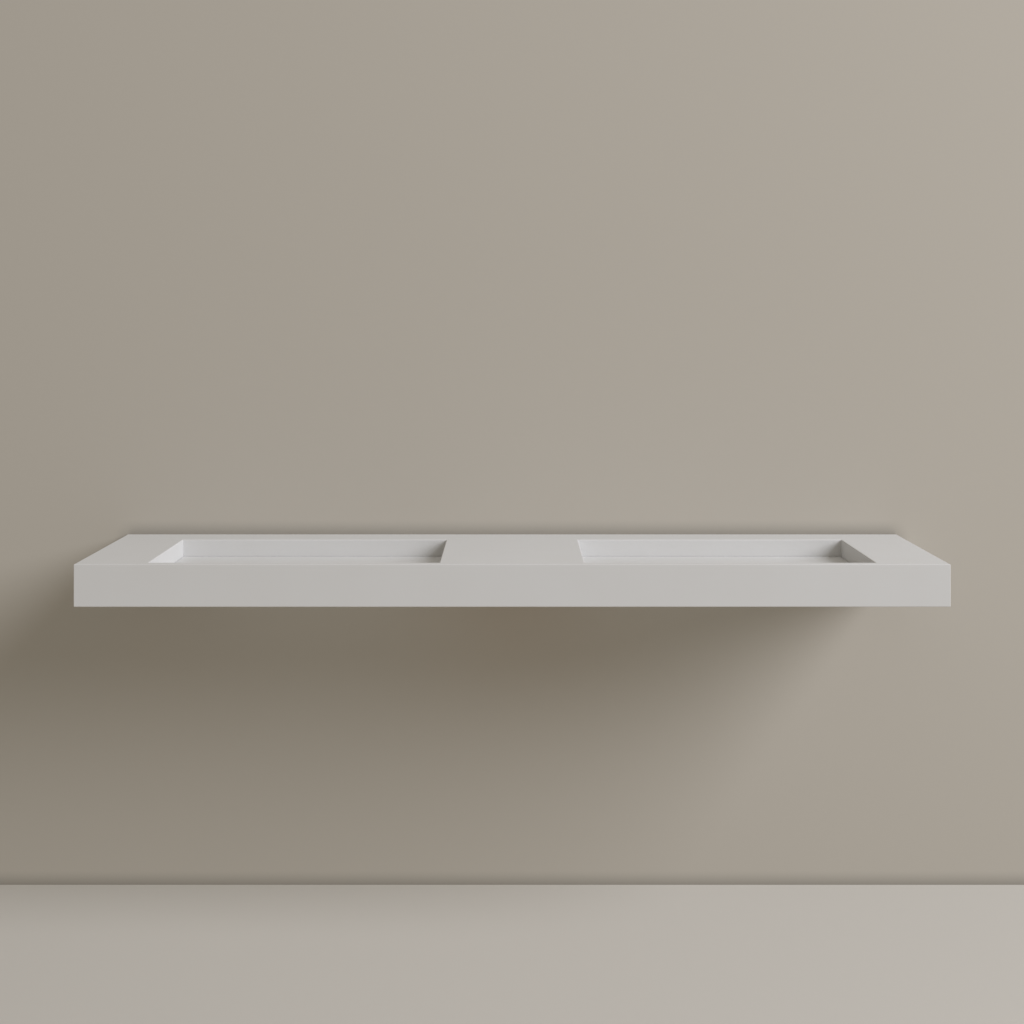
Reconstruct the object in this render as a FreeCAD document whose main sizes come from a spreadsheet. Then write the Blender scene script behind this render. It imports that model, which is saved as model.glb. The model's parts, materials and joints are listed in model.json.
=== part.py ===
import FreeCAD, Part
import os
import Sketcher

# Wall-hung double sink vanity top, in millimetres.
# Origin: on the wall plane, at the middle of the centre bracket's two wall bolts.
# +X runs along the wall to the right, +Y into the wall, +Z up.

SIZES = [
    # Overall form: the width and depth are sums of these.
    ("end_margin", 148, "deck between an end face and a basin"),
    ("basin_width", 602, "basin opening along the wall"),
    ("basin_gap", 300, "deck between the two basins"),
    ("rim_gap", 2, "gap between the front apron and a basin's front wall"),
    ("basin_length", 360, "basin opening front to back"),
    ("back_ledge", 94, "deck behind a basin"),
    ("apron_height", 87, "front face, top to bottom"),
    ("sheet_thickness", 12, "solid-surface sheet"),
    ("arris_radius", 1.2, "easing of the outer edges"),
    ("rim_radius", 2, "easing of the basin rims"),
    ("basin_depth", 38.5, "deck to floor along the basin walls"),
    ("floor_fall", 5, "drop of the floor from the walls to the sump"),
    ("joint_width", 1.5, "fine joint in the floor at the foot of the basin walls"),
    ("joint_depth", 4, "depth of that joint"),
    # Sump and drain cover.
    ("sump_opening", 130, "side of the square opening in the floor"),
    ("sump_ledge", 20, "sump plate bonded under the floor, each side"),
    ("sump_thickness", 10, "sump plate"),
    ("dish_radius", 58, "outer edge of the conical dish in the sump plate"),
    ("dish_depth", 1.5, "fall of the dish to the waste flange"),
    ("cover_gap", 4, "water gap round the drain cover"),
    ("cover_thickness", 8, "drain cover"),
    ("cover_corner", 4, "corner radius of the drain cover"),
    ("cover_easing", 0.8, "easing of the cover's upper edge"),
    ("notch_radius", 10, "finger notch in the cover's front edge"),
    ("foot_radius", 5, "soft foot under the cover"),
    ("foot_inset", 12, "foot centre in from the cover's edges"),
    ("foot_socket", 2, "depth of a foot in the cover"),
    # Two-piece waste, clamped by one screw, with a G 1 1/4 outlet thread.
    ("flange_radius", 31, "grid flange, seals and body flange"),
    ("grid_flange", 2, "thickness of the grid's flange"),
    ("grid_bevel", 1, "bevel of the grid's upper edge"),
    ("grid_seal", 1.5, "seal under the grid's flange"),
    ("cup_radius", 20, "outside of the grid's cup"),
    ("cup_wall", 1.5, "wall of the grid's cup"),
    ("cup_depth", 6, "grid floor below the flange's upper face"),
    ("grid_floor", 2, "thickness of the grid floor"),
    ("grid_hole", 2.2, "radius of a grid hole"),
    ("inner_ring", 8, "pitch radius of the inner grid holes"),
    ("outer_ring", 13.8, "pitch radius of the outer grid holes"),
    ("screw_radius", 3, "clamping screw"),
    ("screw_head", 5, "radius of the screw head"),
    ("screw_dome", 2.5, "height of the screw head"),
    ("body_seal", 3, "seal between the sump plate and the waste body"),
    ("body_flange", 4, "thickness of the body's flange"),
    ("bore_radius", 17, "inside of the outlet"),
    ("thread_radius", 20.955, "outside of the outlet thread"),
    ("outlet_length", 13.5, "outlet thread below the flange"),
    ("outlet_bevel", 1, "bevel at the end of the outlet"),
    ("cross_width", 4, "bars across the bore"),
    ("cross_height", 6, "bars across the bore"),
    ("boss_radius", 5.5, "boss that takes the clamping screw"),
    # Brackets, bearers and their fixings.
    ("plate_side_gap", 8, "wall plate to the sheets beside it"),
    ("plate_height", 56, "wall plate"),
    ("plate_thickness", 8, "wall plate"),
    ("plate_corner", 6, "corner radius of the wall plate"),
    ("wall_hole", 5.5, "radius of a wall bolt hole"),
    ("wall_hole_edge", 17, "wall bolt hole in from the plate's end"),
    ("arm_width", 30, "square tube arm"),
    ("arm_height", 30, "square tube arm"),
    ("arm_wall", 3, "wall of the tube"),
    ("arm_corner", 4, "outer corner radius of the tube"),
    ("arm_length", 390, "arm in front of the wall plate"),
    ("weld_radius", 3.5, "weld round the foot of the arm"),
    ("arm_bolt_setback", 90, "first arm bolt from the wall"),
    ("arm_bolt_spacing", 250, "between the two arm bolts"),
    ("bolt_radius", 4, "arm bolt"),
    ("bolt_hole", 4.5, "radius of the bolt holes in arm and pad"),
    ("bolt_head_corner", 7.5, "circumradius of the bolt head"),
    ("bolt_head_height", 5.3, "bolt head"),
    ("bolt_washer_radius", 8, "bolt washer"),
    ("bolt_washer", 1.6, "bolt washer thickness"),
    ("insert_radius", 6, "threaded insert in the bearer"),
    ("insert_length", 12, "threaded insert"),
    ("insert_engagement", 10, "bolt inside the insert"),
    ("cap_thickness", 2, "end cap outside the tube"),
    ("cap_plug", 10, "end cap inside the tube"),
    ("bearer_thickness", 15, "plywood bearer"),
    ("bearer_side_gap", 18, "bearer to the sheets beside it"),
    ("bearer_setback", 30, "bearer from the wall"),
    ("bearer_front_gap", 28, "bearer to the front backing strip"),
    ("pad_thickness", 3, "rubber bearing pad"),
    ("rail_height", 60, "rear rail"),
    ("strip_width", 10, "backing strips"),
    ("strip_height", 10, "backing strips"),
    # Fits.
    ("strip_clearance", 1, "front backing strip to a basin wall"),
    ("rail_clearance", 2, "rear rail to a wall plate"),
    ("waste_clearance", 0.5, "waste in the sump plate"),
    ("thread_clearance", 0.1, "threads, sockets and inserts"),
    ("plug_clearance", 0.2, "end cap in the tube"),
]

# Places and sizes that follow from the sheet.
HALF_WIDTH = "(sizes.end_margin + sizes.basin_width + sizes.basin_gap / 2)"
FRONT_RIM = "(2 * sizes.sheet_thickness + sizes.rim_gap)"
DEPTH = f"({FRONT_RIM} + sizes.basin_length + sizes.back_ledge)"
DECK_UNDER = "(sizes.arm_height / 2 + sizes.pad_thickness + sizes.bearer_thickness)"
DECK_TOP = f"({DECK_UNDER} + sizes.sheet_thickness)"
BOTTOM = f"({DECK_TOP} - sizes.apron_height)"
BASIN_X = "(sizes.basin_gap / 2 + sizes.basin_width / 2)"
BASIN_Y = "(-sizes.back_ledge - sizes.basin_length / 2)"
OUTER_WIDTH = "(sizes.basin_width + 2 * sizes.sheet_thickness)"
OUTER_LENGTH = "(sizes.basin_length + 2 * sizes.sheet_thickness)"
FLOOR_TOP = f"({DECK_TOP} - sizes.basin_depth)"
SUMP_TOP = f"({FLOOR_TOP} - sizes.floor_fall - sizes.sheet_thickness)"
CUP_HOLE = "(sizes.cup_radius + sizes.waste_clearance)"
END_BAY = "(sizes.end_margin - 2 * sizes.sheet_thickness)"
CENTRE_BAY = "(sizes.basin_gap - 2 * sizes.sheet_thickness)"
END_BRACKET_X = f"({HALF_WIDTH} - sizes.sheet_thickness - {END_BAY} / 2)"
PLATE_WIDTH = f"({END_BAY} - 2 * sizes.plate_side_gap)"
WALL_HOLE_X = f"({PLATE_WIDTH} / 2 - sizes.wall_hole_edge)"
ARM_TIP = "(sizes.plate_thickness + sizes.arm_length)"
BEARER_LENGTH = (f"({DEPTH} - sizes.sheet_thickness - sizes.strip_width"
                 " - sizes.bearer_front_gap - sizes.bearer_setback)")

doc = FreeCAD.newDocument("vanity_top")
sheet = doc.addObject("Spreadsheet::Sheet", "sizes")
for row, (alias, value, note) in enumerate(SIZES, start=1):
    sheet.set(f"A{row}", note)
    sheet.set(f"B{row}", str(value))
    sheet.setAlias(f"B{row}", alias)
doc.recompute()

nodes = []


def number(formula):
    """Present value of a formula, used as the first guess of a sketch."""
    return float(sheet.evalExpression(formula))


def bind(item, **formulas):
    for path, formula in formulas.items():
        item.setExpression(path, formula)


def place(item, x="0", y="0", z="0"):
    for axis, formula in zip("xyz", (x, y, z)):
        item.setExpression(f"Placement.Base.{axis}", formula)


def keep(item, label):
    """Hand the item on as the node of that name."""
    item.Label = label
    nodes.append(item)
    return item


def new_body(name, x="0", y="0", z="0"):
    body = doc.addObject("PartDesign::Body", name)
    place(body, x, y, z)
    return body


def new_sketch(body, name, plane, x="0", y="0", z="0"):
    """Sketch on one of the body's own origin planes; z is along the plane's normal."""
    sketch = body.newObject("Sketcher::SketchObject", name)
    support = next(item for item in body.Origin.OriginFeatures if item.Role == plane)
    sketch.AttachmentSupport = [(support, "")]
    sketch.MapMode = "FlatFace"
    for axis, formula in zip("xyz", (x, y, z)):
        sketch.setExpression(f"AttachmentOffset.Base.{axis}", formula)
    return sketch


def add_rectangle(sketch, width, height):
    """Rectangle centred on the sketch's origin."""
    half_w = number(width) / 2
    half_h = number(height) / 2
    corners = [(-half_w, -half_h), (half_w, -half_h), (half_w, half_h), (-half_w, half_h)]
    first = sketch.GeometryCount
    for start, end in zip(corners, corners[1:] + corners[:1]):
        sketch.addGeometry(Part.LineSegment(FreeCAD.Vector(*start, 0), FreeCAD.Vector(*end, 0)))
    for side in range(4):
        sketch.addConstraint(Sketcher.Constraint("Coincident", first + side, 2, first + (side + 1) % 4, 1))
    for side, way in enumerate(("Horizontal", "Vertical", "Horizontal", "Vertical")):
        sketch.addConstraint(Sketcher.Constraint(way, first + side))
    sketch.addConstraint(Sketcher.Constraint("Symmetric", first, 1, first + 2, 1, -1, 1))
    across = sketch.addConstraint(Sketcher.Constraint("DistanceX", first, 1, first, 2, 2 * half_w))
    sketch.setExpression(f"Constraints[{across}]", width)
    up = sketch.addConstraint(Sketcher.Constraint("DistanceY", first + 1, 1, first + 1, 2, 2 * half_h))
    sketch.setExpression(f"Constraints[{up}]", height)


def pin_point(sketch, item, point, x, y):
    """Tie a point of the sketch to formulas for its two coordinates."""
    for way, axis, formula in (("DistanceX", -2, x), ("DistanceY", -1, y)):
        if formula == "0":
            sketch.addConstraint(Sketcher.Constraint("PointOnObject", item, point, axis))
        else:
            guess = number(formula)
            tie = sketch.addConstraint(Sketcher.Constraint(way, -1, 1, item, point, guess))
            sketch.setExpression(f"Constraints[{tie}]", formula)


def add_circle(sketch, radius, x="0", y="0"):
    centre = FreeCAD.Vector(number(x), number(y), 0)
    item = sketch.addGeometry(Part.Circle(centre, FreeCAD.Vector(0, 0, 1), number(radius)))
    size = sketch.addConstraint(Sketcher.Constraint("Radius", item, number(radius)))
    sketch.setExpression(f"Constraints[{size}]", radius)
    pin_point(sketch, item, 3, x, y)


def add_polygon(sketch, points):
    """Closed outline through points given as pairs of formulas."""
    guesses = [FreeCAD.Vector(number(x), number(y), 0) for x, y in points]
    first = sketch.GeometryCount
    count = len(points)
    for index in range(count):
        sketch.addGeometry(Part.LineSegment(guesses[index], guesses[(index + 1) % count]))
    for index in range(count):
        following = first + (index + 1) % count
        sketch.addConstraint(Sketcher.Constraint("Coincident", first + index, 2, following, 1))
    for index, (x, y) in enumerate(points):
        pin_point(sketch, first + index, 1, x, y)


def add_feature(body, kind, name, sketch, **formulas):
    feature = body.newObject(f"PartDesign::{kind}", name)
    feature.Profile = sketch
    bind(feature, **formulas)
    sketch.Visibility = False
    return feature


def cut_through(body, name, sketch):
    """Cut right through the body, both ways from the sketch."""
    feature = add_feature(body, "Pocket", name, sketch)
    feature.Type = "ThroughAll"
    feature.Midplane = True
    return feature


def turn(body, kind, name, points):
    """Revolution or groove of an outline in the XZ plane about the body's Z axis."""
    sketch = new_sketch(body, f"{name}_profile", "XZ_Plane")
    add_polygon(sketch, points)
    feature = add_feature(body, kind, name, sketch)
    feature.ReferenceAxis = (sketch, ["V_Axis"])
    feature.Angle = 360
    return feature


def frustum(name, axis, first, second):
    """Flat-sided solid between two rectangles; each is its place on the axis and its two spans.

    The spans are along X and Z on the y axis, Y and Z on the x axis, X and Y on the z axis.
    """
    turned = {"x": (FreeCAD.Vector(0, 0, 1), 90), "y": (FreeCAD.Vector(0, 0, 1), 0),
              "z": (FreeCAD.Vector(1, 0, 0), 90)}
    ends = []
    for at, (left, right), (low, high) in (first, second):
        if axis == "x":
            at = f"-({at})"
        if axis == "z":
            low, high = f"-({high})", f"-({low})"
        ends.append((at, left, right, low, high))
    ends.sort(key=lambda end: number(end[0]))
    wedge = doc.addObject("Part::Wedge", name)
    for end, place_at, left, right, low, high in (
            (ends[0], "Ymin", "Xmin", "Xmax", "Zmin", "Zmax"),
            (ends[1], "Ymax", "X2min", "X2max", "Z2min", "Z2max")):
        for path, formula in zip((place_at, left, right, low, high), end):
            setattr(wedge, path, number(formula))
            wedge.setExpression(path, formula)
    wedge.Placement.Rotation = FreeCAD.Rotation(*turned[axis])
    return wedge


def span(width, centre="0"):
    """Both ends of a width about a centre."""
    return f"{centre} - ({width}) / 2", f"{centre} + ({width}) / 2"


def cut_from(name, base, tools):
    for index, tool in enumerate(tools):
        cut = doc.addObject("Part::Cut", f"{name}_{index}")
        cut.Base = base
        cut.Tool = tool
        base = cut
    return base


def round_edges(body, name, radius, chosen):
    """Fillet the edges of the body's present shape that the test picks."""
    doc.recompute()
    last = body.Tip
    names = [f"Edge{index}" for index, edge in enumerate(last.Shape.Edges, start=1) if chosen(edge)]
    feature = body.newObject("PartDesign::Fillet", name)
    feature.Base = (last, names)
    bind(feature, Radius=radius)
    return feature


def edge_box(edge):
    return edge.BoundBox


def runs_along(edge, axis):
    """True for a straight edge along the axis x, y or z."""
    box = edge_box(edge)
    spans = {"x": box.XLength, "y": box.YLength, "z": box.ZLength}
    return all(span < 1e-4 for other, span in spans.items() if other != axis)


def add_box(name, length, width, height, x, y, z):
    """Block from its lowest corner."""
    block = doc.addObject("Part::Box", name)
    bind(block, Length=length, Width=width, Height=height)
    place(block, x, y, z)
    return block


def add_ring(name, outer, inner, height, x, y, z):
    """Flat ring standing on z."""
    body = new_body(name, x, y, z)
    sketch = new_sketch(body, f"{name}_outline", "XY_Plane")
    add_circle(sketch, outer)
    add_circle(sketch, inner)
    add_feature(body, "Pad", f"{name}_pad", sketch, Length=height)
    return body


def add_group(label, items):
    group = doc.addObject("Part::Compound", label)
    group.Links = items
    return keep(group, label)


def eased_block():
    """Outside form of the bonded top, with its arrises eased and its basin rims eased."""
    body = new_body("eased_block")
    outline = new_sketch(body, "block_outline", "XY_Plane", "0", f"-{DEPTH} / 2", BOTTOM)
    add_rectangle(outline, f"2 * {HALF_WIDTH}", DEPTH)
    add_feature(body, "Pad", "block_pad", outline, Length="sizes.apron_height")
    for side, sign in (("left", -1), ("right", 1)):
        opening = new_sketch(body, f"{side}_opening", "XY_Plane", f"{sign} * {BASIN_X}", BASIN_Y, DECK_TOP)
        add_rectangle(opening, "sizes.basin_width", "sizes.basin_length")
        add_feature(body, "Pocket", f"{side}_bowl", opening, Length="sizes.basin_depth")
    half_width = number(HALF_WIDTH)
    depth = number(DEPTH)
    top = number(DECK_TOP)

    def outer(edge):
        box = edge_box(edge)
        at_front = box.YMax < 1e-4 - depth
        at_end = min(abs(box.XMin - half_width), abs(box.XMax + half_width)) < 1e-4
        if runs_along(edge, "x"):
            return at_front
        if runs_along(edge, "y"):
            return at_end
        return at_front and at_end

    def rim(edge):
        box = edge_box(edge)
        inside = box.YMin > 1 - depth and box.YMax < -1 and max(abs(box.XMin), abs(box.XMax)) < half_width - 1
        return inside and box.ZMin > top - 1e-4

    round_edges(body, "outer_arris", "sizes.arris_radius", outer)
    round_edges(body, "basin_rims", "sizes.rim_radius", rim)
    body.Visibility = False
    return body


def mitred_sheet(label, block, axis, outer, inner, openings=()):
    """Sheet with 45 degree joints, spread from its inner to its outer face and eased with the block."""
    blank = frustum(f"{label}_blank", axis, outer, inner)
    cutters = [frustum(f"{label}_cutout_{index}", axis, upper, lower)
               for index, (upper, lower) in enumerate(openings)]
    eased = doc.addObject("Part::Common", f"{label}_eased")
    eased.Base = cut_from(f"{label}_cut", blank, cutters)
    eased.Tool = block
    return keep(eased, label)


def outside_sheets(block):
    inner_half = f"({HALF_WIDTH} - sizes.sheet_thickness)"
    inner_front = f"(-{DEPTH} + sizes.sheet_thickness)"
    openings = []
    for sign in (-1, 1):
        centre = f"{sign} * {BASIN_X}"
        upper = (DECK_TOP, span("sizes.basin_width", centre), span("sizes.basin_length", BASIN_Y))
        lower = (DECK_UNDER, span(OUTER_WIDTH, centre), span(OUTER_LENGTH, BASIN_Y))
        openings.append((upper, lower))
    mitred_sheet("deck", block, "z",
                 (DECK_TOP, span(f"2 * {HALF_WIDTH}"), (f"-{DEPTH}", "0")),
                 (DECK_UNDER, span(f"2 * {inner_half}"), (inner_front, "0")), openings)
    mitred_sheet("front_apron", block, "y",
                 (f"-{DEPTH}", span(f"2 * {HALF_WIDTH}"), (BOTTOM, DECK_TOP)),
                 (inner_front, span(f"2 * {inner_half}"), (BOTTOM, DECK_UNDER)))
    for side, sign in (("left", -1), ("right", 1)):
        mitred_sheet(f"{side}_apron", block, "x",
                     (f"{sign} * {HALF_WIDTH}", (f"-{DEPTH}", "0"), (BOTTOM, DECK_TOP)),
                     (f"{sign} * {inner_half}", (inner_front, "0"), (BOTTOM, DECK_UNDER)))


def hidden_strips():
    """Rear rails against the wall and backing strips behind the mitres."""
    inner_half = f"({HALF_WIDTH} - sizes.sheet_thickness)"
    inner_depth = f"({DEPTH} - sizes.sheet_thickness)"
    rail_start = f"({PLATE_WIDTH} / 2 + sizes.rail_clearance)"
    rail_end = f"({END_BRACKET_X} - {rail_start})"
    rail_z = f"{DECK_UNDER} - sizes.rail_height"
    strip_z = f"{DECK_UNDER} - sizes.strip_height"
    side_length = f"({inner_depth} - sizes.strip_width - sizes.bearer_setback)"
    end_strip = f"({END_BAY} - sizes.strip_clearance)"
    centre_strip = f"({CENTRE_BAY} - 2 * sizes.strip_clearance)"
    for bay, length, strip_x in (("left", end_strip, f"-{inner_half}"),
                                 ("centre", centre_strip, f"-{centre_strip} / 2"),
                                 ("right", end_strip, f"{inner_half} - {end_strip}")):
        strip = add_box(f"{bay}_front", length, "sizes.strip_width", "sizes.strip_height",
                        strip_x, f"-{inner_depth}", strip_z)
        keep(strip, f"{bay}_front_strip")
    for side, rail_x, strip_x in (("left", f"-{rail_end}", f"-{inner_half}"),
                                  ("right", rail_start, f"{inner_half} - sizes.strip_width")):
        rail = add_box(f"{side}_rail", f"{rail_end} - {rail_start}", "sizes.sheet_thickness",
                       "sizes.rail_height", rail_x, "-sizes.sheet_thickness", rail_z)
        keep(rail, f"{side}_rear_rail")
        strip = add_box(f"{side}_side", "sizes.strip_width", side_length, "sizes.strip_height",
                        strip_x, f"-{inner_depth} + sizes.strip_width", strip_z)
        keep(strip, f"{side}_side_strip")


def basin_walls(side, sign, block):
    """Four strips, mitred to the deck at the rim and to each other at the corners."""
    centre = f"{sign} * {BASIN_X}"
    inner_z = (FLOOR_TOP, DECK_TOP)
    outer_z = (FLOOR_TOP, DECK_UNDER)
    for name, way in (("front", -1), ("back", 1)):
        mitred_sheet(f"{side}_basin_{name}_wall", block, "y",
                     (f"{BASIN_Y} + {way} * sizes.basin_length / 2",
                      span("sizes.basin_width", centre), inner_z),
                     (f"{BASIN_Y} + {way} * {OUTER_LENGTH} / 2", span(OUTER_WIDTH, centre), outer_z))
    for name, way in (("inner", -1), ("outer", 1)):
        mitred_sheet(f"{side}_basin_{name}_wall", block, "x",
                     (f"{centre} + {sign * way} * sizes.basin_width / 2",
                      span("sizes.basin_length", BASIN_Y), inner_z),
                     (f"{centre} + {sign * way} * {OUTER_WIDTH} / 2", span(OUTER_LENGTH, BASIN_Y), outer_z))


def basin_floor(side, sign):
    """Sheet level under the walls and hopper-shaped inside a fine joint at their foot."""
    centre = f"{sign} * {BASIN_X}"
    seat = "(sizes.sump_opening + 2 * sizes.sump_ledge)"
    field = ("(sizes.basin_width - 2 * sizes.joint_width)", "(sizes.basin_length - 2 * sizes.joint_width)")
    under = f"({FLOOR_TOP} - sizes.sheet_thickness)"
    joint_z = f"({FLOOR_TOP} - sizes.joint_depth)"
    mouth = (span("sizes.basin_width", centre), span("sizes.basin_length", BASIN_Y))
    sump = (span("sizes.sump_opening", centre), span("sizes.sump_opening", BASIN_Y))
    plate = add_box(f"{side}_floor_plate", OUTER_WIDTH, OUTER_LENGTH, "sizes.sheet_thickness",
                    f"{centre} - {OUTER_WIDTH} / 2", f"{BASIN_Y} - {OUTER_LENGTH} / 2", under)
    belly = frustum(f"{side}_floor_belly", "z", (under, *mouth),
                    (f"{under} - sizes.floor_fall", span(seat, centre), span(seat, BASIN_Y)))
    blank = doc.addObject("Part::MultiFuse", f"{side}_floor_blank")
    blank.Shapes = [plate, belly]
    hopper = frustum(f"{side}_floor_hopper", "z", (FLOOR_TOP, *mouth),
                     (f"{FLOOR_TOP} - sizes.floor_fall", *sump))
    opening = add_box(f"{side}_floor_opening", "sizes.sump_opening", "sizes.sump_opening",
                      "sizes.sheet_thickness + sizes.floor_fall", sump[0][0], sump[1][0], SUMP_TOP)
    frame = add_box(f"{side}_joint_frame", "sizes.basin_width", "sizes.basin_length", "sizes.joint_depth",
                    mouth[0][0], mouth[1][0], joint_z)
    island = add_box(f"{side}_joint_island", *field, "sizes.joint_depth",
                     span(field[0], centre)[0], span(field[1], BASIN_Y)[0], joint_z)
    joint = cut_from(f"{side}_joint", frame, [island])
    keep(cut_from(f"{side}_floor_cut", blank, [hopper, opening, joint]), f"{side}_basin_floor")


def sump_plate(side, x):
    """Square plate with a conical dish, a seat for the grid's flange and a hole for its cup."""
    size = "sizes.sump_opening + 2 * sizes.sump_ledge"
    seat_r = "sizes.flange_radius + sizes.waste_clearance"
    seat_z = "-sizes.dish_depth - sizes.grid_flange - sizes.grid_seal"
    body = new_body(f"{side}_sump", x, BASIN_Y, SUMP_TOP)
    outline = new_sketch(body, f"{side}_sump_outline", "XY_Plane", "0", "0", "-sizes.sump_thickness")
    add_rectangle(outline, size, size)
    add_feature(body, "Pad", f"{side}_sump_pad", outline, Length="sizes.sump_thickness")
    turn(body, "Groove", f"{side}_sump_dish",
         (("0", "0"), ("sizes.dish_radius", "0"), (seat_r, "-sizes.dish_depth"), (seat_r, seat_z),
          (CUP_HOLE, seat_z), (CUP_HOLE, "-sizes.sump_thickness"), ("0", "-sizes.sump_thickness")))
    keep(body, f"{side}_sump_plate")


def drain_cover(side, x):
    """Lift-out cover, level with the lowest edge of the floor, and its four soft feet."""
    half = "(sizes.sump_opening / 2 - sizes.cover_gap)"
    foot_at = f"({half} - sizes.foot_inset)"
    under = "(sizes.sheet_thickness - sizes.cover_thickness)"
    socket_r = "sizes.foot_radius + sizes.thread_clearance"
    body = new_body(f"{side}_cover", x, BASIN_Y, SUMP_TOP)
    outline = new_sketch(body, f"{side}_cover_outline", "XY_Plane", "0", "0", under)
    add_rectangle(outline, f"2 * {half}", f"2 * {half}")
    add_feature(body, "Pad", f"{side}_cover_pad", outline, Length="sizes.cover_thickness")
    round_edges(body, f"{side}_cover_corners", "sizes.cover_corner", lambda edge: runs_along(edge, "z"))
    notch = new_sketch(body, f"{side}_notch", "XY_Plane")
    add_circle(notch, "sizes.notch_radius", "0", f"-{half}")
    cut_through(body, f"{side}_cover_notch", notch)
    sockets = new_sketch(body, f"{side}_sockets", "XY_Plane", "0", "0", f"{under} + sizes.foot_socket")
    for way_x in (-1, 1):
        for way_y in (-1, 1):
            add_circle(sockets, socket_r, f"{way_x} * {foot_at}", f"{way_y} * {foot_at}")
    add_feature(body, "Pocket", f"{side}_cover_sockets", sockets, Length="sizes.foot_socket")
    upper = number("sizes.sheet_thickness")
    round_edges(body, f"{side}_cover_easing", "sizes.cover_easing",
                lambda edge: edge_box(edge).ZMin > upper - 1e-4)
    keep(body, f"{side}_drain_cover")
    feet = []
    for way_x in (-1, 1):
        for way_y in (-1, 1):
            foot = doc.addObject("Part::Cylinder", f"{side}_foot_{len(feet)}")
            bind(foot, Radius="sizes.foot_radius", Height=f"{under} + sizes.foot_socket")
            place(foot, f"{x} + {way_x} * {foot_at}", f"{BASIN_Y} + {way_y} * {foot_at}", SUMP_TOP)
            feet.append(foot)
    add_group(f"{side}_cover_feet", feet)


def waste(side, x):
    """Always-open waste: grid, two seals, body and the screw that clamps them to the sump plate."""
    rim_z = "(-sizes.dish_depth)"
    under_z = f"({rim_z} - sizes.grid_flange)"
    grid_z = f"({rim_z} - sizes.cup_depth)"
    body_z = "(-sizes.sump_thickness - sizes.body_seal)"
    thread_z = f"({body_z} - sizes.body_flange)"
    outlet_z = f"({thread_z} - sizes.outlet_length)"
    cross_z = f"({body_z} - sizes.cross_height)"
    screw_hole = "sizes.screw_radius + sizes.thread_clearance"

    grid = new_body(f"{side}_grid", x, BASIN_Y, SUMP_TOP)
    turn(grid, "Revolution", f"{side}_grid_cup",
         ((screw_hole, grid_z), ("sizes.cup_radius - sizes.cup_wall", grid_z),
          ("sizes.cup_radius - sizes.cup_wall", rim_z), ("sizes.flange_radius - sizes.grid_bevel", rim_z),
          ("sizes.flange_radius", f"{rim_z} - sizes.grid_bevel"), ("sizes.flange_radius", under_z),
          ("sizes.cup_radius", under_z), ("sizes.cup_radius", f"{grid_z} - sizes.grid_floor"),
          (screw_hole, f"{grid_z} - sizes.grid_floor")))
    for ring, pitch, count in (("inner", "sizes.inner_ring", 6), ("outer", "sizes.outer_ring", 12)):
        spot = new_sketch(grid, f"{side}_{ring}_spot", "XY_Plane")
        add_circle(spot, "sizes.grid_hole", pitch, "0")
        drilled = cut_through(grid, f"{side}_{ring}_hole", spot)
        pattern = grid.newObject("PartDesign::PolarPattern", f"{side}_{ring}_holes")
        pattern.Originals = [drilled]
        pattern.Axis = (spot, ["N_Axis"])
        pattern.Angle = 360
        pattern.Occurrences = count
        grid.Tip = pattern
    keep(grid, f"{side}_waste_grid")

    body = new_body(f"{side}_waste", x, BASIN_Y, SUMP_TOP)
    turn(body, "Revolution", f"{side}_waste_turned",
         (("sizes.bore_radius", body_z), ("sizes.flange_radius", body_z), ("sizes.flange_radius", thread_z),
          ("sizes.thread_radius", thread_z), ("sizes.thread_radius", f"{outlet_z} + sizes.outlet_bevel"),
          ("sizes.thread_radius - sizes.outlet_bevel", outlet_z), ("sizes.bore_radius", outlet_z)))
    across = "2 * sizes.bore_radius + sizes.cross_width / 2"
    for way, width, length in (("x", across, "sizes.cross_width"), ("y", "sizes.cross_width", across)):
        bar = new_sketch(body, f"{side}_bar_{way}", "XY_Plane", "0", "0", cross_z)
        add_rectangle(bar, width, length)
        add_feature(body, "Pad", f"{side}_cross_{way}", bar, Length="sizes.cross_height")
    boss = new_sketch(body, f"{side}_boss", "XY_Plane", "0", "0", cross_z)
    add_circle(boss, "sizes.boss_radius")
    add_feature(body, "Pad", f"{side}_cross_boss", boss, Length="sizes.cross_height")
    hole = new_sketch(body, f"{side}_screw_hole", "XY_Plane")
    add_circle(hole, screw_hole)
    cut_through(body, f"{side}_cross_hole", hole)
    keep(body, f"{side}_waste_body")

    screw = new_body(f"{side}_screw", x, BASIN_Y, SUMP_TOP)
    turn(screw, "Revolution", f"{side}_screw_turned",
         (("0", f"{grid_z} + sizes.screw_dome"),
          ("sizes.screw_head / 2", f"{grid_z} + 0.9 * sizes.screw_dome"),
          ("0.85 * sizes.screw_head", f"{grid_z} + 0.6 * sizes.screw_dome"),
          ("sizes.screw_head", grid_z), ("sizes.screw_radius", grid_z),
          ("sizes.screw_radius", cross_z), ("0", cross_z)))
    keep(screw, f"{side}_waste_screw")

    for name, height, seal_z in (("grid_seal", "sizes.grid_seal", f"{under_z} - sizes.grid_seal"),
                                 ("body_seal", "sizes.body_seal", body_z)):
        ring = add_ring(f"{side}_{name}_ring", "sizes.flange_radius", CUP_HOLE, height,
                        x, BASIN_Y, f"{SUMP_TOP} + {seal_z}")
        keep(ring, f"{side}_{name}")


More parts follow.
